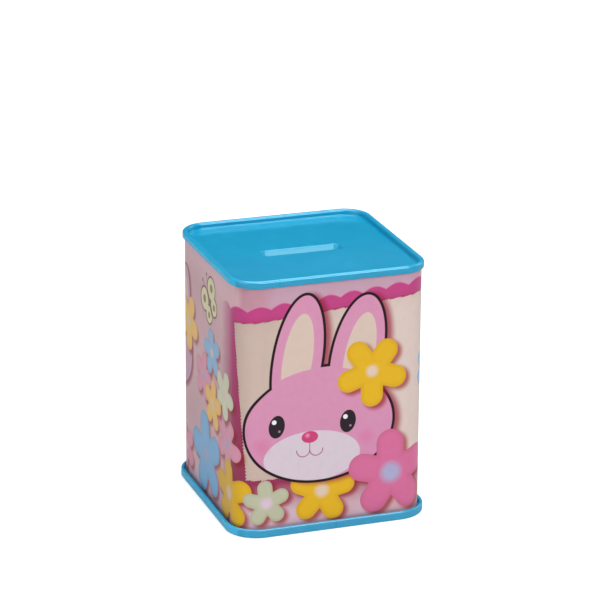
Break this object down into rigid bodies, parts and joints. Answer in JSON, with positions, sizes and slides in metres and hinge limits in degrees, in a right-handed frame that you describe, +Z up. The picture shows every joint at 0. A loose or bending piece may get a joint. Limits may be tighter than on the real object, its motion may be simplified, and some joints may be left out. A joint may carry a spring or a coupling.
{
  "type": "money box",
  "caption": "Square tin money box: a printed tinplate sleeve between two push-fit plastic caps, with a coin slot in the recessed top cap.",
  "frame": {"origin": "centre of the underside of the base cap, on the plane it stands on", "axes": "+Z up; the front face of the sleeve looks along -Y; the coin slot runs along X; the lock seam is in the middle of the +Y face"},
  "size_m": [0.0702, 0.0702, 0.09],
  "materials": {
    "printed_tin": "glossy printed and varnished tinplate",
    "cap_plastic": "glossy moulded plastic"
  },
  "bodies": {
    "base": {"base_cap": "cap_plastic"},
    "sleeve": {"tin_body": "printed_tin"},
    "lid": {"top_cap": "cap_plastic"}
  },
  "joints": [
    {"name": "body_lift", "type": "slide", "parent": "base", "child": "sleeve", "axis": [0, 0, 1], "range_m": [0, 0.025]},
    {"name": "lid_lift", "type": "slide", "parent": "sleeve", "child": "lid", "axis": [0, 0, 1], "range_m": [0, 0.025]}
  ]
}
